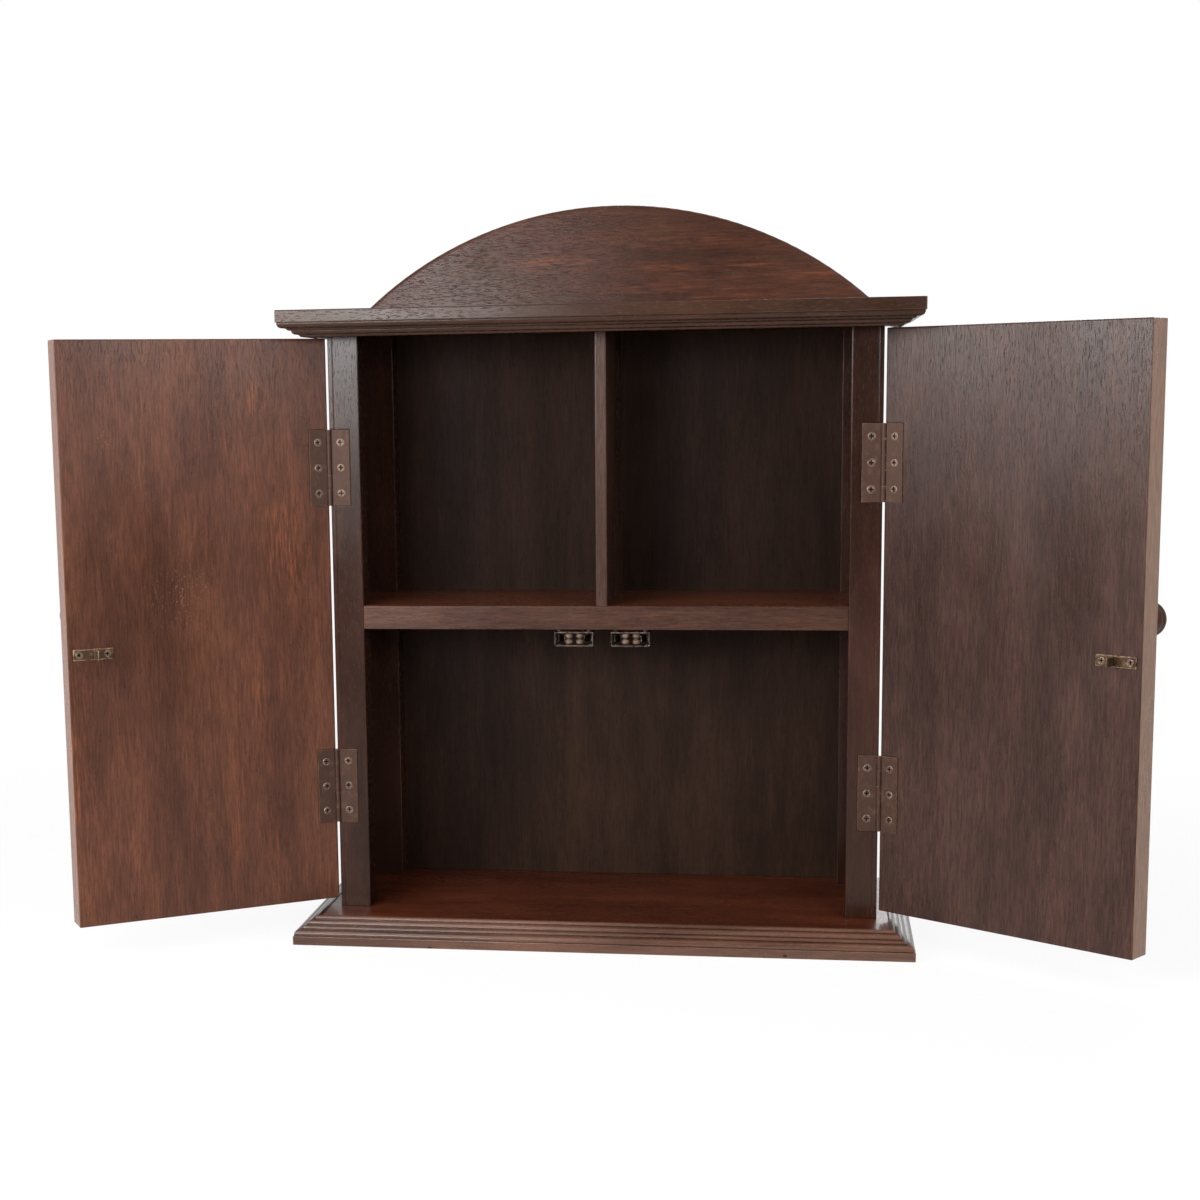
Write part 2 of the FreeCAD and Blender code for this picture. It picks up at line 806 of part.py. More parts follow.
def door_leaf_screws():
    return leaf_screws(door_inner_y - leaf_recess + leaf_thickness, -Y_AXIS)


def build_hinges():
    """Frame leaves and pins stay with the carcass, door leaves swing with the doors."""
    frame_holes = frame_leaf_screws()[1]
    door_holes = door_leaf_screws()[1]
    frame_y = stile_y + leaf_recess
    door_y = door_inner_y - leaf_recess
    own_frame = range(0, knuckle_count, 2)
    own_door = range(1, knuckle_count, 2)
    for level, height in zip(("lower", "upper"), hinge_levels):
        frame_leaf = leaf(height, own_frame, frame_y - leaf_thickness, frame_y, frame_holes)
        door_leaf = leaf(height, own_door, door_y, door_y + leaf_thickness, door_holes)
        write("left_" + level + "_frame_leaf", frame_leaf)
        write("right_" + level + "_frame_leaf", mirrored(frame_leaf))
        for side in ("left", "right"):
            write(side + "_" + level + "_door_leaf", opened(door_leaf, side))
    pins = [hinge_pin(height) for height in hinge_levels]
    write("hinge_pins", *pins, *[mirrored(pin) for pin in pins])


def build_doors():
    """Door boards with their knobs, strikes and screws."""
    leaf_screw_set, leaf_holes = door_leaf_screws()
    strike_sizes = (strike_screw_head_radius, strike_screw_radius, strike_screw_length)
    strike_screw_set, strike_holes = screws(*strike_sizes, strike_screw_seats())
    mortises = [mortise(z, door_inner_y - leaf_recess, door_inner_y + overrun) for z in hinge_levels]
    board = cut_all(door_blank(), leaf_holes + strike_holes + mortises + [spigot_hole()])
    strike_plate = strike(strike_holes)
    turned_knob = knob()
    for side in ("left", "right"):
        write(side + "_door", opened(board, side))
        write(side + "_knob", opened(turned_knob, side))
        write(side + "_strike", opened(strike_plate, side))
        write(side + "_door_leaf_screws", *[opened(s, side) for s in leaf_screw_set])
        write(side + "_strike_screws", *[opened(s, side) for s in strike_screw_set])


def build_catches(screw_holes):
    """Housings, and the rollers with their pins and springs, outer and inner in each catch."""
    housing = catch_housing(screw_holes)
    for catch, put in (("left", Part.Shape.copy), ("right", mirrored)):
        write(catch + "_catch_housing", put(housing))
        for place, side in (("outer", -1), ("inner", 1)):
            name = catch + "_catch_" + place
            write(name + "_roller", put(roller(side)))
            write(name + "_pin", put(roller_pin(side)))
            write(name + "_spring", put(catch_spring(side)))


os.makedirs("parts", exist_ok=True)
build_catches(build_carcass())
build_hinges()
build_doors()
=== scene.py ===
"""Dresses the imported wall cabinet: stained wood, worn hardware, camera and studio light (m)."""
import bpy
import json
import math
from mathutils import Matrix, Vector

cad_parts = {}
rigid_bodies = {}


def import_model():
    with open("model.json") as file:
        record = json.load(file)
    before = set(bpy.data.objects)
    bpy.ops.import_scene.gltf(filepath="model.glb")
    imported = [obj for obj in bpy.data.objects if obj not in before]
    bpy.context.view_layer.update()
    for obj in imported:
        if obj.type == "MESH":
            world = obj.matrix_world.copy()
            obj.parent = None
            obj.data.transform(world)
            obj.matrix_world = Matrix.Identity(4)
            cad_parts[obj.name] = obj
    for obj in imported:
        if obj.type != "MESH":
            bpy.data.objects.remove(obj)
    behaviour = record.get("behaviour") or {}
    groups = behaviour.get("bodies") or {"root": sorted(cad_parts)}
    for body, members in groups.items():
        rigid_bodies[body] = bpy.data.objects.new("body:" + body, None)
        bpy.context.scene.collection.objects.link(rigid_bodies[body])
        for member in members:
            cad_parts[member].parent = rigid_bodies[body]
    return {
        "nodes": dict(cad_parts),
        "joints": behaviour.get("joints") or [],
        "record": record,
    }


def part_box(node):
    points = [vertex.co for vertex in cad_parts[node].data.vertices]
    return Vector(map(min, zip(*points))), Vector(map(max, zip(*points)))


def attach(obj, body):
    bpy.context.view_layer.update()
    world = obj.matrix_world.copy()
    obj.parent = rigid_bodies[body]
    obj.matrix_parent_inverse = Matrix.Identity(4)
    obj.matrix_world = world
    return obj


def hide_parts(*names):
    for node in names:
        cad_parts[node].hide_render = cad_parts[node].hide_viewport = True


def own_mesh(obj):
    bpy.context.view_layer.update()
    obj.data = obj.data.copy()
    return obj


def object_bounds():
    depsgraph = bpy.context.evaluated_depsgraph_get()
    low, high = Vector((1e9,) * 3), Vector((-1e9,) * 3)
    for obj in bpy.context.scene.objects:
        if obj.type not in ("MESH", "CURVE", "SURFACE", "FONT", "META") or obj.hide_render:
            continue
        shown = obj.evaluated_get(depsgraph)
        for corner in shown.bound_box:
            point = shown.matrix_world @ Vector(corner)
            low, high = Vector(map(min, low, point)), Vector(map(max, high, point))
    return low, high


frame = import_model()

cad_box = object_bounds()
kinds = {part["node"]: part["material_slot"] for part in frame["record"]["subparts"]}
X, Y, Z = range(3)

# Camera, fitted to the photograph
camera_place = Vector((0.168806, -1.738353, 0.462440))
camera_yaw = 0.159181
camera_pitch = 0.151023
camera_roll = -0.015087
focal_pixels = 2033.278
middle_pixels = (481.916, 702.900)
image_pixels = 1200
sensor_mm = 36.0

# Light: name, place, size and power of each soft box
lamps = (
    ("key_lamp", (-1.38, -1.22, 0.74), (1.3, 0.55), 35.0),
    ("front_lamp", (-0.64, -1.85, 0.62), (0.6, 0.42), 15.0),
    ("fill_lamp", (0.95, -1.15, 1.25), (0.9, 0.8), 8.0),
    ("low_lamp", (1.00, -1.40, 0.66), (1.0, 0.25), 9.0),
    ("high_lamp", (-0.60, -1.25, 1.65), (0.7, 0.6), 9.0),
    ("top_lamp", (0.0, -0.8, 2.2), (1.8, 1.2), 4.0),
    ("back_lamp", (0.5, 1.7, 1.0), (1.4, 0.9), 24.0),
)

# World: strength of the dim room, and the headings along Y over which a white backdrop takes over
ambient = 0.06
backdrop_turn = (-0.2, 0.2)

# Floor: a disc, how white the eye sees it near the cabinet, and the distances over which it turns all white
floor_radius = 1.5
floor_sides = 64
floor_gap = 0.0002
floor_tone = 0.9
floor_white_share = 0.9
floor_fade = (0.45, 1.2)

# Marks on the doors: reach from the hinge pin, height over the base, half width and half height
left_streaks = (
    (0.041, 0.338, 0.024, 0.066),
    (0.058, 0.216, 0.022, 0.048),
    (0.175, 0.199, 0.024, 0.044),
    (0.063, 0.460, 0.014, 0.024),
    (0.219, 0.161, 0.028, 0.060),
)
left_scuffs = (
    (0.192, 0.426, 0.012, 0.016),
    (0.191, 0.357, 0.007, 0.014),
    (0.132, 0.300, 0.045, 0.045),
)
left_cuts = (
    (0.2026, 0.3794, 0.0014, 0.0016),
    (0.1512, 0.0564, 0.0008, 0.0180),
    (0.1142, 0.0434, 0.0007, 0.0120),
)
right_cuts = (
    (0.1879, 0.3789, 0.0014, 0.0014),
    (0.1657, 0.3503, 0.0012, 0.0012),
    (0.1791, 0.3493, 0.0012, 0.0012),
    (0.1840, 0.3239, 0.0012, 0.0012),
)
# Marks on the crest and base: distance from the middle, height, half width and half height
crest_streaks = (
    (0.066, 0.580, 0.075, 0.022),
    (-0.048, 0.576, 0.045, 0.014),
    (0.022, 0.550, 0.060, 0.012),
)
base_scuffs = (
    (0.1345, 0.0036, 0.012, 0.0035),
)
base_cuts = (
    (0.1548, 0.0025, 0.0025, 0.0016),
    (-0.1413, 0.0010, 0.0030, 0.0014),
)
# Distances from a mark's middle, as shares of its size, over which it comes in
mark_fade_shares = (1.0, 0.2)

# Edges and corners: how far a rounded normal leans where wear and painted edge shade come in, and samples
# per ray
edge_cosines = (0.99, 0.80)
edge_samples = 6
recess_shade_samples = 8

# Wood grain: share kept along the grain, then scale, detail, roughness and warp of each layer's noise
grain_layers = {
    "figure": (0.16, 34.0, 5.0, 0.62, 0.3),
    "fibre": (0.09, 620.0, 3.0, 0.65),
    "pore": (0.11, 1500.0, 1.0),
    "stain": (0.5, 10.0, 5.0, 0.62),
    "line": (0.035, 210.0, 5.0, 0.75),
    "patch": (0.35, 15.0, 3.0),
}

# Wood colour: levels of the layers over which each effect comes in, its shades and its share
figure_levels = (0.28, 0.72)
fibre_levels = (0.25, 0.75)
pore_levels = (0.56, 0.72)
stain_levels = (0.3, 0.7)
stain_shades = (0.8, 1.18)
line_levels = (0.5, 0.68)
patch_levels = (0.5, 0.68)
streak_fibre_levels = (0.44, 0.66)
streak_figure_levels = (0.4, 0.62)
streak_share = 0.5
face_cosines = (0.35, 0.75)
raw_levels = (0.2, 0.8)
raw_shades = (0.7, 1.2)
raw_share = 0.7
chip_noise = (420.0, 3.0, 0.7)
chip_levels = (0.58, 0.66)
chip_share = 0.4
chip_tone = (132, 104, 82)

# Wood wear and painted shade: where edges are rubbed, where rounded edges and the piece's own corners are
# darkened as painted shade (with dirt in the corners), and where cuts are dark
wear_levels = (0.35, 0.65)
wear_recess_limit = 0.5
edge_shade_levels = (0.5, 1.0)
# Painted shade, with the dirt that gathers there, in the piece's own corners and recesses
recess_shade_reach = 0.005
recess_shade_levels = (0.88, 0.45)
cut_levels = (0.0, 0.6)
cut_shade = 0.12

# Wood surface: spread of its roughness, and the heights of fibres and pores
rough_spread = 0.06
pore_rough = 0.15
fibre_height = 0.6
pore_depth = 0.35
wood_bump = 0.0005

# Metal: noise of its blotches and specks, and levels and shades of its effects
blotch_noise = (4.0, 0.6)
speck_scale = 9
speck_detail = 2.0
speck_levels = (0.3, 0.7)
speck_shades = (0.82, 1.15)
rubbed_levels = (0.3, 0.6)
patina_levels = (0.52, 0.7)
crease_shade_levels = (0.9, 0.55)
# A band of painted shade round each roller's waist: half widths over which it fades, and its shade
shade_band_reach = (0.0005, 0.0011)
shade_band_factor = 0.15
metal_rough_levels = (0.3, 0.7)
metal_rough_spread = (-0.08, 0.1)
metal_relief = 0.25
metal_bump = 0.0002

# Usual finish of wood: shares of rubbed lines, pores and fine fibres, of painted shade on rounded edges
# (rim), of wear, and of painted shade with dirt in corners, and its surface
usual_wood = dict(
    rub=0.3, rough=0.29, gloss=0.22, shift=0.0, pores=0.55, fine=0.32, relief=0.35, arris=0.0014,
    rim=1.0, wear=0.6, corner_shade=0.45, bare=None, outer=None, flat=None, streaks=(), scuffs=(), cuts=(),
)

# Woods: axis of the grain, sRGB tones of deep, middle and rubbed wood, and what differs from the usual
woods = {
    "left_door_wood": dict(
        grain=Z, deep=(66, 37, 26), mid=(86, 51, 35), rubbed=(130, 70, 36), bare=(116, 82, 66),
        outer=(74, 45, 34), pores=0.72,
    ),
    "right_door_wood": dict(
        grain=Z, deep=(47, 29, 24), mid=(62, 40, 33), rubbed=(90, 57, 42), bare=(146, 114, 94),
        outer=(74, 45, 34), shift=3.0, pores=0.5, fine=0.4, relief=0.45,
    ),
    # The crest's rim share darkens its rounded edges: painted shade along the arch
    "crest_wood": dict(
        grain=X, deep=(52, 28, 17), mid=(70, 38, 23), rubbed=(130, 70, 36), rough=0.27, gloss=0.2,
        shift=1.0, relief=0.4, arris=0.004, rim=0.5,
    ),
    "back_wood": dict(
        grain=Z, deep=(33, 21, 15), mid=(44, 29, 22), rubbed=(62, 38, 26), rough=0.5, gloss=0.06,
        shift=2.0, pores=0.75, fine=0.2,
    ),
    "floor_wood": dict(
        grain=X, deep=(62, 28, 16), mid=(83, 40, 24), rubbed=(106, 54, 30), rough=0.3, shift=5.0,
    ),
    "divider_wood": dict(
        grain=Z, deep=(47, 30, 23), mid=(66, 44, 35), rubbed=(108, 68, 44), rub=0.4, shift=11.0,
    ),
    # The shelf's top, bottom and ends take the lighter, redder bare tone: painted light on its top
    "shelf_wood": dict(
        grain=X, deep=(51, 32, 24), mid=(73, 47, 36), rubbed=(108, 68, 44), bare=(92, 48, 31),
        flat=(0, 1, 0), rub=0.4, shift=10.0,
    ),
    # Lighter tones than the side mouldings of the same run: painted light on the front that faces the lamps
    "base_front_wood": dict(
        grain=X, deep=(66, 42, 31), mid=(93, 62, 47), rubbed=(168, 136, 108), rub=0.1, rough=0.2,
        gloss=0.4, shift=6.0, pores=0.85, fine=0.12, relief=0.15, arris=0.001, wear=0.9, corner_shade=0.3,
    ),
    "upright_wood": dict(
        grain=Z, deep=(36, 20, 14), mid=(52, 30, 22), rubbed=(82, 52, 34), rough=0.24, gloss=0.2,
        shift=7.0, pores=0.7, fine=0.2, relief=0.1,
    ),
    "across_wood": dict(
        grain=X, deep=(43, 26, 17), mid=(61, 38, 26), rubbed=(118, 90, 72), rub=0.1, rough=0.24,
        shift=8.0, pores=0.85, fine=0.12, relief=0.2, arris=0.001, wear=0.8, corner_shade=0.3,
    ),
    "side_moulding_wood": dict(
        grain=Y, deep=(46, 29, 21), mid=(66, 43, 33), rubbed=(118, 90, 72), rub=0.1, rough=0.24,
        shift=9.0, pores=0.85, fine=0.12, relief=0.2, arris=0.001, wear=0.8, corner_shade=0.3,
    ),
    "knob_wood": dict(
        grain=Y, deep=(58, 38, 28), mid=(80, 54, 42), rubbed=(116, 82, 60), rough=0.3, shift=4.0,
    ),
}

# Woods of single boards; other boards take the wood of the way they run
board_woods = {
    "left_door": "left_door_wood",
    "right_door": "right_door_wood",
    "crest_board": "crest_wood",
    "back_panel": "back_wood",
    "base_board": "floor_wood",
    "divider": "divider_wood",
    "shelf_board": "shelf_wood",
    "base_front_moulding": "base_front_wood",
    "top_board": "across_wood",
}

# Usual finish of metal: scale of its blotches, share and reach of its painted recess shade, its surface,
# and the height of a painted shade band
usual_metal = dict(blotch_scale=160.0, crease_shade=0.2, gloss=0.5, crease=0.002, arris=0.0007, shade_band_height=None)

# Metals: sRGB tones of coat and bare metal, roughness, share of metal, share worn, and what differs
metals = {
    "hinge_bronze": dict(
        coat=(62, 42, 33), bare=(132, 104, 84), rough=0.46, metallic=0.25, wear=0.14, gloss=0.2,
        crease=0.006,
    ),
    "strike_brass": dict(
        coat=(72, 51, 33), bare=(204, 174, 136), rough=0.3, metallic=0.6, wear=0.2, crease_shade=0.1,
        arris=0.0016,
    ),
    "roller_brass": dict(coat=(94, 74, 62), bare=(150, 122, 100), rough=0.4, metallic=0.3, wear=0.3),
    "catch_steel": dict(coat=(70, 60, 54), bare=(190, 178, 160), rough=0.32, metallic=1.0, wear=0.2),
    "screw_steel": dict(
        coat=(98, 80, 68), bare=(168, 150, 132), rough=0.36, metallic=0.8, wear=0.3,
        blotch_scale=240.0, crease_shade=0.02,
    ),
}

# Shader graph helpers


def feed(tree, socket, value):
    """A socket takes a link where it is given another socket, and a constant otherwise."""
    if isinstance(value, bpy.types.NodeSocket):
        tree.links.new(value, socket)
    else:
        socket.default_value = value


def node(tree, kind, inputs=None, **settings):
    """A shader node with its settings and sockets filled in."""
    made = tree.nodes.new("ShaderNode" + kind)
    for name, value in settings.items():
        setattr(made, name, value)
    for name, value in (inputs or {}).items():
        feed(tree, made.inputs[name], value)
    return made


def calc(tree, operation, first, second=0.0):
    """One step of arithmetic on two values."""
    return node(tree, "Math", {0: first, 1: second}, operation=operation).outputs[0]


def ramp(tree, value, low, high, bottom=0.0, top=1.0):
    """A smooth step from bottom to top as the value goes from low to high."""
    inputs = {"Value": value, "From Min": low, "From Max": high, "To Min": bottom, "To Max": top}
    return node(tree, "MapRange", inputs, interpolation_type="SMOOTHSTEP").outputs[0]


def blend(tree, factor, first, second):
    """A colour between two others."""
    return node(tree, "Mix", {0: factor, 6: first, 7: second}, data_type="RGBA").outputs[2]


def shade(tree, colour, value):
    """A colour made darker or lighter by a value."""
    return node(tree, "VectorMath", {0: colour, "Scale": value}, operation="SCALE").outputs[0]


def noise(tree, vector, scale, detail=2.0, rough=0.5, warp=0.0):
    """Cloudy noise in three dimensions."""
    inputs = {"Vector": vector, "Scale": scale, "Detail": detail, "Roughness": rough, "Distortion": warp}
    return node(tree, "TexNoise", inputs).outputs[0]


def facing(tree, direction):
    """How squarely a face looks in a direction."""
    normal = node(tree, "TexCoord").outputs["Normal"]
    return node(tree, "VectorMath", {0: normal, 1: direction}, operation="DOT_PRODUCT").outputs["Value"]


def soft_edge(tree, radius):
    """A normal rounded over at the edges, and a mask of how far it leans away from the real one."""
    rounded = node(tree, "Bevel", {"Radius": radius}, samples=edge_samples).outputs[0]
    normal = node(tree, "NewGeometry").outputs["Normal"]
    cosine = node(tree, "VectorMath", {0: rounded, 1: normal}, operation="DOT_PRODUCT").outputs["Value"]
    return rounded, ramp(tree, cosine, *edge_cosines)


def recess_shade_and_dirt(tree, reach, open_level, hidden_level):
    """A mask that is bright in the piece's own corners and recesses, where painted shade goes."""
    corners = node(tree, "AmbientOcclusion", {"Distance": reach}, samples=recess_shade_samples, only_local=True)
    return ramp(tree, corners.outputs["AO"], open_level, hidden_level)


def near(tree, place, marks):
    """A mask that is bright round each marked place: its middle, half width and half height."""
    mask = None
    for middle, wide, high in marks:
        offset = node(tree, "VectorMath", {0: place, 1: tuple(middle)}, operation="SUBTRACT").outputs[0]
        shares = (1 / wide, 1 / wide, 1 / high)
        scaled = node(tree, "VectorMath", {0: offset, 1: shares}, operation="MULTIPLY").outputs[0]
        length = node(tree, "VectorMath", {0: scaled}, operation="LENGTH").outputs["Value"]
        spot = ramp(tree, length, *mark_fade_shares)
        mask = spot if mask is None else calc(tree, "MAXIMUM", mask, spot)
    return mask


def blank(name):
    """An empty node material, its tree and its shader."""
    material = bpy.data.materials.new(name)
    material.use_nodes = True
    return material, material.node_tree, material.node_tree.nodes["Principled BSDF"]


def grey(value):
    """A shader colour without hue."""
    return (value, value, value, 1.0)


def tone(red, green, blue):
    """A shader colour from the sRGB values that it has in a picture, by the sRGB curve."""
    def linear(value):
        share = value / 255
        return share / 12.92 if share <= 0.04045 else ((share + 0.055) / 1.055) ** 2.4
    return (linear(red), linear(green), linear(blue), 1.0)


# Wood


def wood_layers(tree, place, grain, shift):
    """Noises drawn out along the grain, and shifted so that boards differ."""
    layers = {}
    for name, (share, *settings) in grain_layers.items():
        scale = [1.0, 1.0, 1.0]
        scale[grain] = share
        drawn = node(tree, "Mapping", {"Vector": place, "Location": (shift, shift, shift), "Scale": scale})
        layers[name] = noise(tree, drawn.outputs[0], *settings)
    return layers


def sound_wood(tree, place, layers, pore, finish):
    """The colour of stained wood: figure, rubbed lines and streaks, fibres, stains and pores."""
    rubbed = tone(*finish["rubbed"])
    figure = ramp(tree, layers["figure"], *figure_levels)
    colour = blend(tree, figure, tone(*finish["deep"]), tone(*finish["mid"]))
    line = ramp(tree, layers["line"], *line_levels)
    patch = ramp(tree, layers["patch"], *patch_levels, 0.0, finish["rub"])
    colour = blend(tree, calc(tree, "MULTIPLY", line, patch), colour, rubbed)
    if finish["streaks"]:
        thin = ramp(tree, layers["fibre"], *streak_fibre_levels, 0.0, streak_share)
        thin = calc(tree, "MULTIPLY", thin, ramp(tree, layers["figure"], *streak_figure_levels))
        streak = calc(tree, "MULTIPLY", thin, near(tree, place, finish["streaks"]))
        colour = blend(tree, streak, colour, rubbed)
    fine = finish["fine"]
    colour = shade(tree, colour, ramp(tree, layers["fibre"], *fibre_levels, 1 - fine, 1 + fine))
    colour = shade(tree, colour, ramp(tree, layers["stain"], *stain_levels, *stain_shades))
    return shade(tree, colour, ramp(tree, pore, 0.0, 1.0, 1.0, finish["pores"]))


def bare_edges_and_lit_top(tree, colour, fibre, finish):
    """A board's colour with rawer wood on its edges and, on a door, the outer face's own tone; on the shelf
    the same lighter tone covers its top, bottom and ends, and on its top it is painted light.
    """
    square = facing(tree, finish["flat"])
    if finish["outer"]:
        share = [new / old for new, old in zip(tone(*finish["outer"])[:3], tone(*finish["mid"]))]
        matched = node(tree, "VectorMath", {0: colour, 1: share}, operation="MULTIPLY").outputs[0]
        colour = blend(tree, ramp(tree, square, *face_cosines), colour, matched)
    side = ramp(tree, calc(tree, "ABSOLUTE", square), *reversed(face_cosines))
    raw = shade(tree, tone(*finish["bare"])[:3], ramp(tree, fibre, *raw_levels, *raw_shades))
    return blend(tree, calc(tree, "MULTIPLY", side, raw_share), colour, raw)


def chipped(tree, colour, place, scuffs):
    """A colour with small pale chips in the scuffed places."""
    chips = ramp(tree, noise(tree, place, *chip_noise), *chip_levels, 0.0, chip_share)
    return blend(tree, calc(tree, "MULTIPLY", chips, near(tree, place, scuffs)), colour, tone(*chip_tone))


def worn_and_shaded_edges(tree, colour, corner, stain, finish):
    """A colour with rubbed edges, painted shade on rounded edges as far as the rim share asks, and painted
    shade with dirt in its own corners.
    """
    shaded_recess = recess_shade_and_dirt(tree, recess_shade_reach, *recess_shade_levels)
    worn = calc(tree, "MULTIPLY", corner, ramp(tree, stain, *wear_levels))
    worn = calc(tree, "MULTIPLY", worn, ramp(tree, shaded_recess, 0.0, wear_recess_limit, finish["wear"], 0.0))
    colour = blend(tree, worn, colour, tone(*finish["rubbed"]))
    # Painted shade on rounded edges, as far as the rim share asks
    colour = shade(tree, colour, ramp(tree, corner, *edge_shade_levels, 1.0, finish["rim"]))
    # Painted shade, with dirt, in the piece's own corners and recesses
    return shade(tree, colour, ramp(tree, shaded_recess, 0.0, 1.0, 1.0, finish["corner_shade"]))


def wood(name, finish):
    """Stained wood with fibres along one axis, rubbed streaks, marks of use, worn edges and painted shade
    in its corners and on some rounded edges.
    """
    material, tree, shader = blank(name)
    place = node(tree, "TexCoord").outputs["Object"]
    layers = wood_layers(tree, place, finish["grain"], finish["shift"])
    fibre = layers["fibre"]
    stain = layers["stain"]
    pore = ramp(tree, layers["pore"], *pore_levels)
    colour = sound_wood(tree, place, layers, pore, finish)
    if finish["bare"]:
        colour = bare_edges_and_lit_top(tree, colour, fibre, finish)
    if finish["scuffs"]:
        colour = chipped(tree, colour, place, finish["scuffs"])
    rounded, corner = soft_edge(tree, finish["arris"])
    colour = worn_and_shaded_edges(tree, colour, corner, stain, finish)
    if finish["cuts"]:
        cut = near(tree, place, finish["cuts"])
        colour = shade(tree, colour, ramp(tree, cut, *cut_levels, 1.0, cut_shade))
    feed(tree, shader.inputs["Base Color"], colour)
    rough = finish["rough"]
    uneven = ramp(tree, stain, *stain_levels, rough - rough_spread, rough + rough_spread)
    uneven = calc(tree, "ADD", uneven, calc(tree, "MULTIPLY", pore, pore_rough))
    feed(tree, shader.inputs["Roughness"], uneven)
    feed(tree, shader.inputs["Specular IOR Level"], finish["gloss"])
    raised = calc(tree, "MULTIPLY", fibre, fibre_height)
    height = calc(tree, "SUBTRACT", raised, calc(tree, "MULTIPLY", pore, pore_depth))
    inputs = {"Strength": finish["relief"], "Distance": wood_bump, "Height": height, "Normal": rounded}
    feed(tree, shader.inputs["Normal"], node(tree, "Bump", inputs).outputs[0])
    return material


# Metal


def metal(name, finish):
    """Toned metal with brighter worn edges, blotches of patina, painted shade in its recesses and a dark
    band of painted shade round a roller's waist.
    """
    material, tree, shader = blank(name)
    place = node(tree, "TexCoord").outputs["Object"]
    blotch = noise(tree, place, finish["blotch_scale"], *blotch_noise)
    speck = noise(tree, place, finish["blotch_scale"] * speck_scale, speck_detail)
    rounded, corner = soft_edge(tree, finish["arris"])
    rubbed = calc(tree, "MULTIPLY", corner, ramp(tree, blotch, *rubbed_levels))
    patches = calc(tree, "MULTIPLY", ramp(tree, blotch, *patina_levels), finish["wear"])
    worn = calc(tree, "MAXIMUM", rubbed, patches)
    colour = blend(tree, worn, tone(*finish["coat"]), tone(*finish["bare"]))
    colour = shade(tree, colour, ramp(tree, speck, *speck_levels, *speck_shades))
    # Painted shade in the piece's own recesses
    shaded_recess = recess_shade_and_dirt(tree, finish["crease"], *crease_shade_levels)
    colour = shade(tree, colour, ramp(tree, shaded_recess, 0.0, 1.0, 1.0, finish["crease_shade"]))
    # A band of painted shade round a roller's waist
    if finish["shade_band_height"]:
        height = node(tree, "SeparateXYZ", {0: place}).outputs["Z"]
        away = calc(tree, "ABSOLUTE", calc(tree, "SUBTRACT", height, finish["shade_band_height"]))
        colour = shade(tree, colour, ramp(tree, away, *shade_band_reach, shade_band_factor, 1.0))
    feed(tree, shader.inputs["Base Color"], colour)
    feed(tree, shader.inputs["Metallic"], finish["metallic"])
    smoothest, roughest = (finish["rough"] + spread for spread in metal_rough_spread)
    feed(tree, shader.inputs["Roughness"], ramp(tree, blotch, *metal_rough_levels, smoothest, roughest))
    feed(tree, shader.inputs["Specular IOR Level"], finish["gloss"])
    relief = calc(tree, "ADD", blotch, speck)
    inputs = {"Strength": metal_relief, "Distance": metal_bump, "Height": relief, "Normal": rounded}
    feed(tree, shader.inputs["Normal"], node(tree, "Bump", inputs).outputs[0])
    return material


# Places of the marks


def door_turn(side):
    """A door's hinge joint and how far it stands open, about +Z."""
    joint = next(j for j in frame["joints"] if j["name"] == side + "_door_hinge")
    return joint, math.radians(-joint["range_deg"][0]) * (-1 if side == "left" else 1)


def door_normal(side):
    """The direction square to an open door's faces, which its outer face looks in."""
    joint, turn = door_turn(side)
    return tuple(Matrix.Rotation(turn, 3, "Z") @ Vector((0, -1, 0)))


def on_door(side, marks):
    """Marks given by reach and height, as places on an open door's inner face."""
    joint, turn = door_turn(side)
    along = Matrix.Rotation(turn, 3, "Z") @ Vector((1 if side == "left" else -1, 0, 0))
    foot = Vector(joint["pos_m"])
    foot.z = 0.0
    return [
        (foot + along * reach + Vector((0, 0, height)), wide, high)
        for reach, height, wide, high in marks
    ]


def on_front(name, marks):
    """Marks given by distance from the middle and height, as places on a node's front."""
    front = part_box(name)[0][Y]
    return [(Vector((across, front, height)), wide, high) for across, height, wide, high in marks]


def middle_height(name):
    """The height of a node's middle."""
    low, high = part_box(name)
    return (low[Z] + high[Z]) / 2


# Pieces


def make_materials():
    """All woods and metals by name, with the marks that only some of them carry."""
    marks = {
        "left_door_wood": dict(
            flat=door_normal("left"), streaks=on_door("left", left_streaks),
            scuffs=on_door("left", left_scuffs), cuts=on_door("left", left_cuts),
        ),
        "right_door_wood": dict(flat=door_normal("right"), cuts=on_door("right", right_cuts)),
        "crest_wood": dict(streaks=on_front("crest_board", crest_streaks)),
        "base_front_wood": dict(
            scuffs=on_front("base_front_moulding", base_scuffs),
            cuts=on_front("base_front_moulding", base_cuts),
        ),
        # The rollers' middle height, where a band of painted shade goes
        "roller_brass": dict(shade_band_height=middle_height("left_catch_outer_roller")),
    }
    materials = {}
    for name, finish in woods.items():
        materials[name] = wood(name, {**usual_wood, **finish, **marks.get(name, {})})
    for name, finish in metals.items():
        materials[name] = metal(name, {**usual_metal, **finish, **marks.get(name, {})})
    return materials


def material_name(name):
    """A node's material: its board's own, its slot's, or that of the way its wood runs."""
    if name in board_woods:
        return board_woods[name]
    if kinds[name] in woods or kinds[name] in metals:
        return kinds[name]
    if name.endswith(("left_moulding", "right_moulding")):
        return "side_moulding_wood"
    if name.endswith("_moulding"):
        return "across_wood"
    return "upright_wood"


def dress():
    """Every shown node gets the material of what it is made of."""
    materials = make_materials()
    for name, piece in frame["nodes"].items():
        piece.data.materials.clear()
        piece.data.materials.append(materials[material_name(name)])


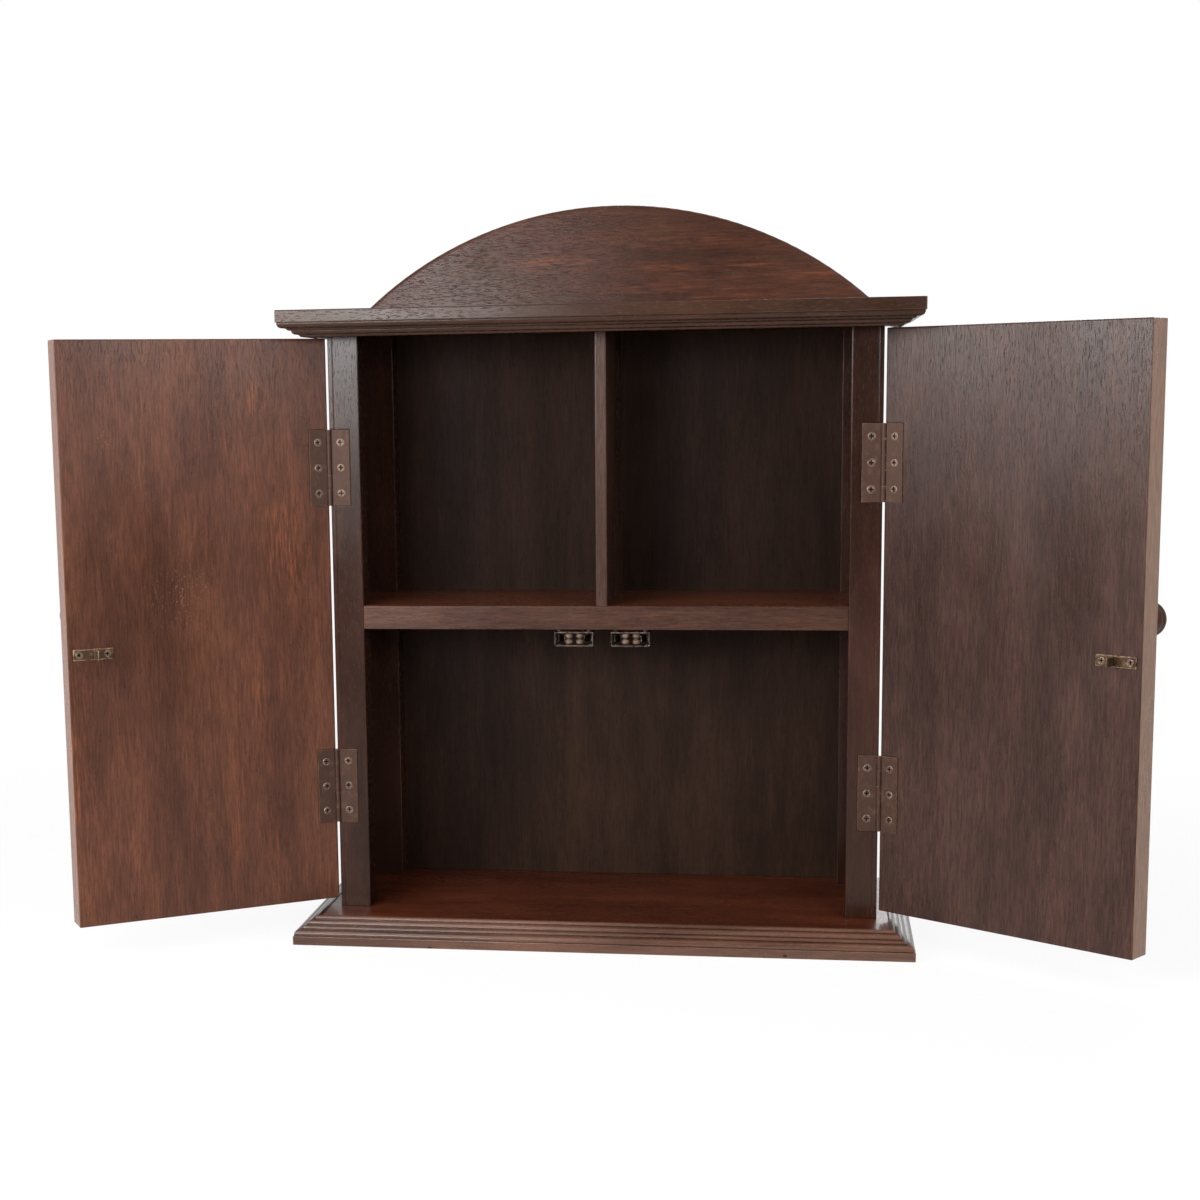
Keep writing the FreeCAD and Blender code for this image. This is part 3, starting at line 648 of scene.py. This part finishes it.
def make_springs():
    """Each catch spring as a copy of its own, hung on its joint's parent body, with the original hidden."""
    for joint in frame["joints"]:
        for bent in joint.get("deforming_nodes", ()):
            name = bent["node"]
            spring = bpy.data.objects.new("bending_" + name, frame["nodes"][name].data.copy())
            bpy.context.scene.collection.objects.link(spring)
            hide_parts(name)
            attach(spring, joint["parent"])
            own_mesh(spring)


# Camera, light and floor


def make_camera():
    """The photograph's camera, from its fitted place, turn and focal length."""
    forward = Vector((
        -math.sin(camera_yaw) * math.cos(camera_pitch),
        math.cos(camera_yaw) * math.cos(camera_pitch),
        -math.sin(camera_pitch),
    ))
    level = Vector((math.cos(camera_yaw), math.sin(camera_yaw), 0))
    lift = level.cross(forward)
    right = level * math.cos(camera_roll) + lift * math.sin(camera_roll)
    up = lift * math.cos(camera_roll) - level * math.sin(camera_roll)
    data = bpy.data.cameras.new("camera")
    data.sensor_width = sensor_mm
    data.lens = sensor_mm * focal_pixels / image_pixels
    data.shift_x = 0.5 - middle_pixels[0] / image_pixels
    data.shift_y = middle_pixels[1] / image_pixels - 0.5
    camera = bpy.data.objects.new("camera", data)
    turn = Matrix((right, up, -forward)).transposed().to_4x4()
    camera.matrix_world = Matrix.Translation(camera_place) @ turn
    bpy.context.scene.collection.objects.link(camera)
    bpy.context.scene.camera = camera


def make_lamp(name, place, size, watts):
    """A soft box aimed at the middle of the cabinet."""
    data = bpy.data.lights.new(name, "AREA")
    data.shape = "RECTANGLE"
    data.size, data.size_y = size
    data.energy = watts
    lamp = bpy.data.objects.new(name, data)
    middle = (Vector(cad_box[0]) + Vector(cad_box[1])) / 2
    lamp.location = place
    lamp.rotation_euler = (middle - Vector(place)).to_track_quat("-Z", "Y").to_euler()
    bpy.context.scene.collection.objects.link(lamp)


def seen_directly(tree, backdrop=1.0):
    """One for camera rays, and for glossy and transmission rays that meet the backdrop."""
    path = node(tree, "LightPath")
    shiny = calc(tree, "MAXIMUM", path.outputs["Is Glossy Ray"], path.outputs["Is Transmission Ray"])
    return calc(tree, "MAXIMUM", path.outputs["Is Camera Ray"], calc(tree, "MULTIPLY", shiny, backdrop))


def make_world():
    """A white surround to the eye, with a white backdrop behind the object and a dim room in front."""
    world = bpy.data.worlds.new("studio")
    world.use_nodes = True
    tree = world.node_tree
    dim = tree.nodes["Background"]
    dim.inputs["Strength"].default_value = ambient
    dim.inputs["Color"].default_value = grey(1.0)
    white = node(tree, "Background", {"Color": grey(1.0), "Strength": 1.0})
    heading = node(tree, "SeparateXYZ", {0: node(tree, "TexCoord").outputs["Generated"]}).outputs["Y"]
    share = seen_directly(tree, ramp(tree, heading, *backdrop_turn))
    mixed = node(tree, "MixShader", {0: share, 1: dim.outputs[0], 2: white.outputs[0]})
    tree.links.new(mixed.outputs[0], tree.nodes["World Output"].inputs["Surface"])
    bpy.context.scene.world = world


def make_floor():
    """A round pale floor that keeps the object's shadow and fades to white."""
    mesh = bpy.data.meshes.new("floor")
    low = cad_box[0][Z] - floor_gap
    turns = [2 * math.pi * i / floor_sides for i in range(floor_sides)]
    rim = [(floor_radius * math.cos(turn), floor_radius * math.sin(turn), low) for turn in turns]
    mesh.from_pydata(rim, [], [list(range(floor_sides))])
    floor = bpy.data.objects.new("floor", mesh)
    bpy.context.scene.collection.objects.link(floor)
    material, tree, shader = blank("floor_paper")
    shader.inputs["Base Color"].default_value = grey(floor_tone)
    shader.inputs["Roughness"].default_value = 1.0
    shader.inputs["Specular IOR Level"].default_value = 0.0
    glow = node(tree, "Emission", {"Color": grey(1.0), "Strength": 1.0})
    place = node(tree, "TexCoord").outputs["Object"]
    reach = node(tree, "VectorMath", {0: place}, operation="LENGTH").outputs["Value"]
    white = ramp(tree, reach, *floor_fade, floor_white_share, 1.0)
    share = calc(tree, "MULTIPLY", seen_directly(tree), white)
    mixed = node(tree, "MixShader", {0: share, 1: shader.outputs[0], 2: glow.outputs[0]})
    tree.links.new(mixed.outputs[0], tree.nodes["Material Output"].inputs["Surface"])
    mesh.materials.append(material)


dress()
make_springs()
make_camera()
for lamp in lamps:
    make_lamp(*lamp)
make_world()
make_floor()
bpy.context.scene.view_settings.view_transform = "Standard"
